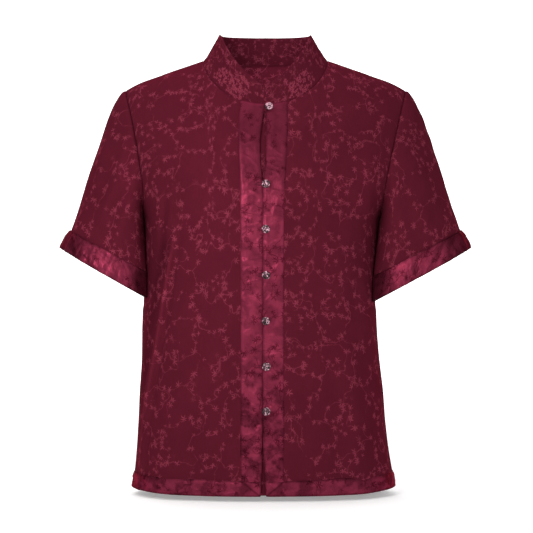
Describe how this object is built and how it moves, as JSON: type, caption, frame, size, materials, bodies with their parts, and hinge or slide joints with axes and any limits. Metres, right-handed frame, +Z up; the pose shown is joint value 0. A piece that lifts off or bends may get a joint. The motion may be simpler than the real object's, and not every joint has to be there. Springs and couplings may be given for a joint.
{
  "type": "button-up shirt",
  "caption": "Short-sleeved button-up shirt of dark red figured satin with a stand collar, shiny bands and round buttons, filled out as if worn.",
  "frame": {"origin": "in the neck opening, midway between the neck ends of the two shoulder seams and at their height, where a wearer's neck and shoulders hold the shirt", "axes": "+Z up from the hem to the collar, -Y out of the buttoned front, +X to the wearer's left, the side that carries the buttons"},
  "size_m": [0.6126, 0.2405, 0.6803],
  "materials": {
    "ground_satin": "soft satin",
    "shiny_satin": "shiny satin",
    "collar_satin": "soft satin",
    "button_shell": "polished",
    "loop_cord": "corded"
  },
  "bodies": {
    "root": {"front_right": "ground_satin", "front_left": "ground_satin", "back": "ground_satin", "sleeve_right": "ground_satin", "sleeve_left": "ground_satin", "underlap": "ground_satin", "placket_right": "shiny_satin", "placket_left": "shiny_satin", "hem_front_right": "shiny_satin", "hem_front_left": "shiny_satin", "hem_back": "shiny_satin", "cuff_right": "shiny_satin", "cuff_left": "shiny_satin", "collar": "collar_satin", "button_1": "button_shell", "button_2": "button_shell", "button_3": "button_shell", "button_4": "button_shell", "button_5": "button_shell", "button_6": "button_shell", "button_7": "button_shell", "loop_1": "loop_cord", "loop_2": "loop_cord", "loop_3": "loop_cord", "loop_4": "loop_cord", "loop_5": "loop_cord", "loop_6": "loop_cord", "loop_7": "loop_cord"}
  },
  "joints": []
}
